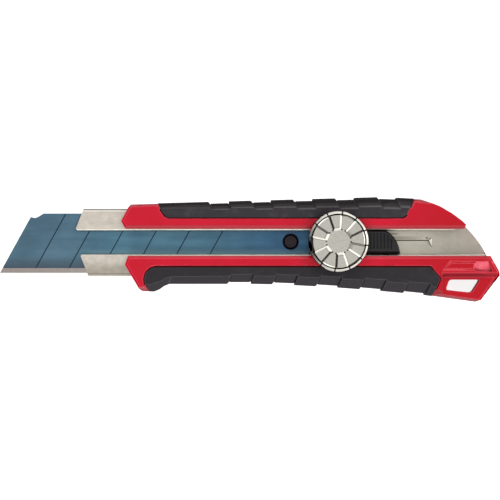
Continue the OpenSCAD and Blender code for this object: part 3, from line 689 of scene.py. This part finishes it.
def soften(piece, width, segments, sharp):
    """Rounds the edges sharper than an angle in degrees. The normals follow the large faces,
    so that flat faces look flat and the rounding alone carries the change of light."""
    select_only(piece)
    bevel = piece.modifiers.new("bevel", "BEVEL")
    bevel.width = width
    bevel.segments = segments
    bevel.limit_method = "ANGLE"
    bevel.angle_limit = math.radians(sharp)
    bevel.miter_outer = "MITER_ARC"
    bevel.use_clamp_overlap = True
    bpy.ops.object.modifier_apply(modifier=bevel.name)
    pick(piece, "VERT", lambda p: True)
    bpy.ops.mesh.remove_doubles(threshold=0.01 * MM)
    bpy.ops.object.mode_set(mode="OBJECT")
    bpy.ops.object.shade_smooth_by_angle(angle=math.radians(35))
    flatten = piece.modifiers.new("flatten", "WEIGHTED_NORMAL")
    flatten.keep_sharp = True
    bpy.ops.object.modifier_apply(modifier=flatten.name)


def finished(node, width, segments, sharp, before=None):
    """Replaces a node by its softened copy, which may be shaped before."""
    piece = merged_copy(node)
    if before:
        before(piece)
    soften(piece, width, segments, sharp)
    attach(piece, body_of(frame["nodes"][node])[0])
    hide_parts(node)
    print(piece.name, len(piece.data.polygons), "faces")


print("merged_copy, soften and finished are ready")

# %% [markdown]
# Pressing rolls the inner edges of the channel's lips in a wide curve, much wider than the
# rounding of the other edges, and brings them in close to the slider. The rails follow them
# inwards. Both are small moves of a few vertices, done before the edges are softened.

# %% Roll the lips and narrow the slot
lip_y = 5.1 * MM
rolled_lip_y = 4.95 * MM
lip_roll = 0.55 * MM
rail_inward = 0.25 * MM
near = 0.02 * MM


def roll_lips(piece):
    """Rolls the inner edges of the channel's two lips, which come in close to the slider."""
    pick(piece, "VERT", lambda p: p.z > 9.5 * MM and abs(abs(p.y) - lip_y) < near)
    bpy.ops.transform.resize(value=(1, rolled_lip_y / lip_y, 1), center_override=(0, 0, 0))
    pick(piece, "EDGE", lambda p: (p.z > lip_top - 0.05 * MM and abs(abs(p.y) - rolled_lip_y) < near
                                   and abs(p.x) < 50 * MM))
    bpy.ops.mesh.bevel(offset=lip_roll, segments=4)
    bpy.ops.object.mode_set(mode="OBJECT")


def narrow_slot(piece):
    """Brings the rail's inner edge a little in over the channel's lip."""
    inward = -rail_inward if piece.name.startswith("upper") else rail_inward
    pick(piece, "VERT", lambda p: abs(p.y) < 6.6 * MM and p.z > 11.8 * MM)
    bpy.ops.transform.translate(value=(0, inward, 0))
    bpy.ops.object.mode_set(mode="OBJECT")


print("lips at", round(lip_y / MM, 2), "mm go to", round(rolled_lip_y / MM, 2), "mm")

# %% [markdown]
# The rounding is as wide as each way of making leaves it: half a millimetre on the moulded
# shell, a little less on rails and rubber, and a tenth on pressed steel. The rails also have
# shallow folds, so theirs starts at a smaller angle.

# %% Pieces with softened edges
SHAPED = {"blade_channel": roll_lips, "upper_rail": narrow_slot, "lower_rail": narrow_slot}
# width in millimetres, segments, and the angle in degrees from which an edge is rounded
EDGES = {"back_shell": (0.5, 3, 20), "upper_rail": (0.35, 3, 14), "lower_rail": (0.35, 3, 14),
         "upper_grip": (0.3, 3, 20), "lower_grip": (0.3, 3, 20), "blade_channel": (0.12, 2, 20),
         "thumb_slider": (0.25, 2, 20), "blade_stud": (0.15, 2, 20), "clamp_saddle": (0.2, 2, 20)}
for node, (width, segments, sharp) in EDGES.items():
    finished(node, width * MM, segments, sharp, SHAPED.get(node))

# %% [markdown]
# The lock wheel is a zinc casting with a worked face. Its solid has the blocks and notches,
# but the fine slopes that catch the light would be too many faces for a solid. So the wheel
# is modelled anew, to the sizes of its solid. Both the rim and the face are turned: a circle
# is extruded ring by ring. The wheel is made round the origin, with the middle of a block
# along X, and is turned and moved to its place at the end.

# %% Turned surfaces
bush_low, bush_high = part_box("wheel_bush")
wheel_r = (wheel_high.x - wheel_low.x) / 2
bush_r = (bush_high.x - bush_low.x) / 2
block_rise = 0.52 * MM
slope_w = 0.8 * MM
disc_r, land_r, groove_r = 4.8 * MM, 10.5 * MM, 11.15 * MM
bead_r, shoulder_r = 11.45 * MM, 12.22 * MM
land_z = wheel_high.z - block_rise


def turned(name, sides, rings, cap):
    """A turned surface through rings of a radius and a height."""
    (radius, height), *others = rings
    bpy.ops.object.select_all(action="DESELECT")
    bpy.ops.mesh.primitive_circle_add(vertices=sides, radius=radius, fill_type=cap, location=(0, 0, height))
    made = bpy.context.object
    made.name = name
    bpy.ops.object.transform_apply(location=True, rotation=True, scale=True)
    pick(made, "EDGE", lambda p: True)
    for ring_r, ring_z in others:
        bpy.ops.mesh.extrude_edges_move()
        bpy.ops.transform.translate(value=(0, 0, ring_z - height))
        bpy.ops.transform.resize(value=(ring_r / radius,) * 2 + (1,), center_override=(0, 0, 0))
        radius, height = ring_r, ring_z
    bpy.ops.mesh.select_all(action="SELECT")
    bpy.ops.mesh.normals_make_consistent(inside=False)
    return made


def lean(p, parts=wheel_blocks):
    """The angle in degrees from the nearest of so many even directions, the first along X."""
    step = 360 / parts
    return (math.degrees(math.atan2(p.y, p.x)) + step / 2) % step - step / 2


def on_ring(p, low, high):
    """Whether a place on the face lies between two radii, with a little room."""
    return low - 0.05 * MM < radius_of(p) < high + 0.05 * MM and p.z > land_z - 0.1 * MM


print("wheel", round(wheel_r / MM, 2), "mm, bush", round(bush_r / MM, 2), "mm in radius")

# %% [markdown]
# The rim starts in a groove round the face, rises to a low bead and rolls over the edge. Its
# bead reflects the lamps, and the groove gives it a dark inner line, deepened by painted
# shade. Twelve notches stand in line with the sides of the six blocks. They could be cut with
# wedges, but pulling narrow strips of the rim's vertices inwards leaves cleaner faces.

# %% Rim with twelve notches
wheel = turned("lock_wheel_finished", 240, [
    (groove_r - 0.2 * MM, land_z - 0.52 * MM), (groove_r, land_z - 0.48 * MM),
    (bead_r, land_z - 0.1 * MM), (shoulder_r, land_z - 0.5 * MM),
    (wheel_r, land_z - 1.4 * MM), (wheel_r, wheel_low.z + 0.8 * MM),
    (wheel_r - 0.8 * MM, wheel_low.z), (bush_r, wheel_low.z), (bush_r, bush_high.z)], "NOTHING")
notches = 2 * wheel_blocks
notch_half = 1.4
pick(wheel, "VERT", lambda p: (radius_of(p) > 11 * MM and p.z > land_z - 2.5 * MM
                               and abs(lean(p, notches)) > 180 / notches - notch_half))
bpy.ops.transform.resize(value=(0.95, 0.95, 1), center_override=(0, 0, 0))
bpy.ops.object.mode_set(mode="OBJECT")
print("rim", len(wheel.data.polygons), "faces")

# %% [markdown]
# On the face, the six sectors of the blocks are first joined into one polygon each, with
# straight inner edges whose corners turn a little towards the middle. An inset then raises
# them, which gives them slopes of one width all round, and their tops are spread to steepen
# the inner and the outer slope. Last, the outer ring is lowered into the groove.

# %% Face with six blocks
half_block = 15
corner_turn = 4.7
groove_drop = 0.46 * MM
face = turned("face", 72, [(disc_r, land_z), (land_r, land_z), (groove_r, land_z)], "NGON")
pick(face, "FACE", lambda p: on_ring(p, disc_r, groove_r) and abs(lean(p)) < half_block)
bpy.ops.mesh.dissolve_faces()
pick(face, "VERT", lambda p: on_ring(p, disc_r, disc_r) and abs(lean(p)) < half_block - 0.1)
bpy.ops.mesh.dissolve_verts()
for way in (1, -1):
    pick(face, "VERT", lambda p: on_ring(p, disc_r, disc_r) and abs(lean(p) - half_block * way) < 0.1)
    turn = math.radians(-corner_turn * way)
    bpy.ops.transform.rotate(value=turn, orient_axis="Z", center_override=(0, 0, 0))
pick(face, "FACE", lambda p: on_ring(p, disc_r + 1 * MM, groove_r - 0.5 * MM) and abs(lean(p)) < half_block)
bpy.ops.mesh.inset(thickness=slope_w, depth=block_rise)
# from and to which radius in millimetres the tops are spread, and how far
for low, high, spread in ((0, 7, 1.04), (9, 12, 1.045)):
    pick(face, "VERT", lambda p: p.z > wheel_high.z - 0.1 * MM and low * MM < radius_of(p) < high * MM)
    bpy.ops.transform.resize(value=(spread, spread, 1), center_override=(0, 0, 0))
pick(face, "VERT", lambda p: on_ring(p, groove_r, groove_r))
bpy.ops.transform.translate(value=(0, 0, -groove_drop))
bpy.ops.object.mode_set(mode="OBJECT")
print("face", len(face.data.polygons), "faces")

# %% [markdown]
# The rim and the face become one piece, because the wheel is one casting. It is turned to
# bring its blocks over those of the solid, and moved to its axis. Its shading breaks at a
# small angle, which keeps every slope a flat facet. It rides on the wheel's body and turns
# with it.

# %% Lock wheel in its place
select_only(wheel)
face.select_set(True)
bpy.ops.object.join()
wheel.rotation_euler = (0, 0, math.pi / 2 + wheel_turn)
wheel.location = (wheel_axis.x, wheel_axis.y, 0)
bpy.ops.object.transform_apply(location=True, rotation=True, scale=True)
bpy.ops.object.shade_smooth_by_angle(angle=math.radians(12))
wheel.data.materials.clear()
wheel.data.materials.append(cast.material)
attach(wheel, "wheel")
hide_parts("lock_wheel")
print("wheel", len(wheel.data.polygons), "faces")

# %% [markdown]
# The knife lies in a light tent, which is the world. Polished steel shows what stands round
# it, so the tent is not even. Straight above, where the camera hangs, it is dimmer, and flat
# faces look calm. Round that is a bright ring, and then a wall that is bright to the east.
# Low down it is dark but for three beams of light and one small patch, which give slopes and
# rounded edges their play of light and dark. An image of a studio would do as well, but in a
# sum of directions each light can be moved by itself. The camera itself sees plain white.

# %% World
world = bpy.data.worlds.new("studio")
scene.world = world
world.use_nodes = True
studio = Graph(world.node_tree)
east, north, up = studio.axes(studio.node("ShaderNodeTexCoord", {}, output="Generated"))
azimuth = studio.node("ShaderNodeMath", {"operation": "ARCTAN2"}, north, east)
overhead = up.rise(0.86, 0.95)
low = up.rise(0.84, 0.68)
lowest = up.rise(0.54, 0.46)
overhead_light = 0.66 - 0.14 * east.rise(0.07, 0.15)
ring_light = 1.25 * (1 - overhead) * (1 - low)
east_side = (azimuth.math("COSINE", azimuth - math.radians(10)) * 0.5 + 0.5) ** 0.5
wall_light = (1.75 * east_side - 0.15) * low * (1 - lowest)
beam = azimuth.math("COSINE", azimuth * 3 - math.radians(24)) * 0.5 + 0.5
north_patch = north.rise(0.74, 0.82) * east.rise(0.2, 0.3)
beams = 0.03 + 1.9 * beam * beam * beam + 0.45 * north_patch
strength = overhead_light * overhead + ring_light + wall_light + beams * lowest
sky = studio.node("ShaderNodeBackground", {}, (1, 1, 1), strength)
white = studio.node("ShaderNodeBackground", {}, (1, 1, 1), 1)
seen = studio.node("ShaderNodeLightPath", {}, output="Is Camera Ray")
shown = studio.node("ShaderNodeMixShader", {}, seen, sky, white)
studio.feed(world.node_tree.nodes["World Output"].inputs[0], shown)
print("the world has", len(world.node_tree.nodes), "nodes")

# %% [markdown]
# Three soft boxes model the knife: a weak one each from the east and the north, and a
# stronger one from the south, towards which the lower edges face. They stay under 60 degrees,
# because the sheen of a higher lamp on the flat steel would reach the camera.

# %% Lamps
# direction and height in degrees, width and depth in metres, and power in watts
LAMPS = ((20, 50, 0.3, 0.14, 0.5), (92, 56, 0.3, 0.1, 0.35), (268, 56, 0.45, 0.14, 1.25))
lamp_distance = 0.7


def soft_box(name, direction, height, size, power):
    """A lamp with a wide face, in a direction and at a height in degrees, turned to the knife."""
    data = bpy.data.lights.new(name, "AREA")
    data.shape = "RECTANGLE"
    data.size, data.size_y = size
    data.energy = power
    lamp = bpy.data.objects.new(name, data)
    turned_by, raised = math.radians(direction), math.radians(height)
    lamp.location = lamp_distance * Vector((math.cos(turned_by) * math.cos(raised),
                                            math.sin(turned_by) * math.cos(raised), math.sin(raised)))
    lamp.rotation_euler = (-lamp.location).to_track_quat("-Z", "Y").to_euler()
    scene.collection.objects.link(lamp)
    print(name, "at", [round(part, 2) for part in lamp.location])


for number, (direction, height, width, depth, power) in enumerate(LAMPS):
    soft_box(f"soft_box_{number}", direction, height, (width, depth), power)

# %% [markdown]
# The knife lies on white paper. Its own glow makes it white to the camera and in mirror
# reflections, and the light on it is only the last part, so the knife's shadow stays soft.

# %% Paper
bpy.ops.object.select_all(action="DESELECT")
bpy.ops.mesh.primitive_plane_add(size=6, location=(0, 0, -0.2 * MM))
floor = bpy.context.object
floor.name = "floor"
paper = Finish("floor_paper")
paper.set(base_color=(0.6, 0.6, 0.6), roughness=0.9)
path = paper.node("ShaderNodeLightPath", {}).socket.node
seen = sum(Value(paper, path.outputs[f"Is {kind} Ray"]) for kind in ("Camera", "Glossy", "Transmission"))
glow = paper.node("ShaderNodeEmission", {}, (1, 1, 1), seen * 0.85)
paper_shader = Value(paper, paper.shader.outputs[0])
both = paper.node("ShaderNodeAddShader", {}, paper_shader, glow)
paper.feed(paper.tree.nodes["Material Output"].inputs[0], both)
floor.data.materials.append(paper.material)
paper.report()
